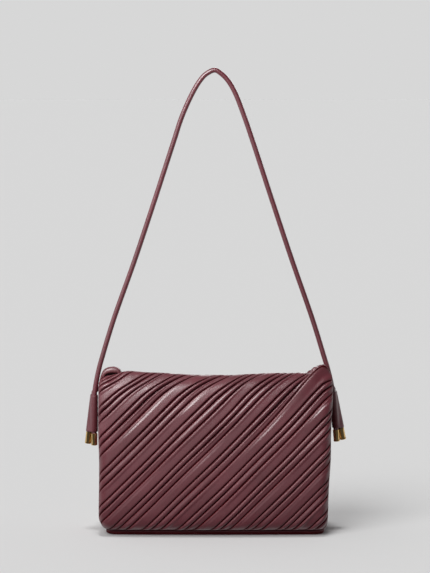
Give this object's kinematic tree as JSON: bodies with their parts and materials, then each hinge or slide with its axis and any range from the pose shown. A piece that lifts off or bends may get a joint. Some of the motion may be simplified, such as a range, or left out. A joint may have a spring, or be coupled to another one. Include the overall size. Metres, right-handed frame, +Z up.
{
  "type": "accordion bag",
  "caption": "Small soft shoulder bag with diagonally pleated leather panels, plain gussets and base, and one round rolled strap ending in leather sleeves and gold caps.",
  "frame": {"origin": "under the peak of the strap, where the bag hangs from a hook, peg or shoulder", "axes": "+Z up, +X to the right of the pleated front, front towards -Y"},
  "size_m": [0.3163, 0.0932, 0.5567],
  "materials": {
    "pleated_leather": "satin burgundy leather laid in sharp diagonal pleats",
    "plain_leather": "satin burgundy leather, smooth",
    "strap_leather": "glossy burgundy leather, rolled round a core",
    "gold_metal": "polished gold plating"
  },
  "bodies": {
    "root": {"front_panel": "pleated_leather", "back_panel": "pleated_leather", "base_panel": "plain_leather", "gusset_left": "plain_leather", "gusset_right": "plain_leather", "strap": "strap_leather", "anchor_cord_left": "strap_leather", "anchor_cord_right": "strap_leather", "sleeve_left": "plain_leather", "sleeve_right": "plain_leather", "strap_cap_left": "gold_metal", "strap_cap_right": "gold_metal", "anchor_cap_left": "gold_metal", "anchor_cap_right": "gold_metal"}
  },
  "joints": []
}
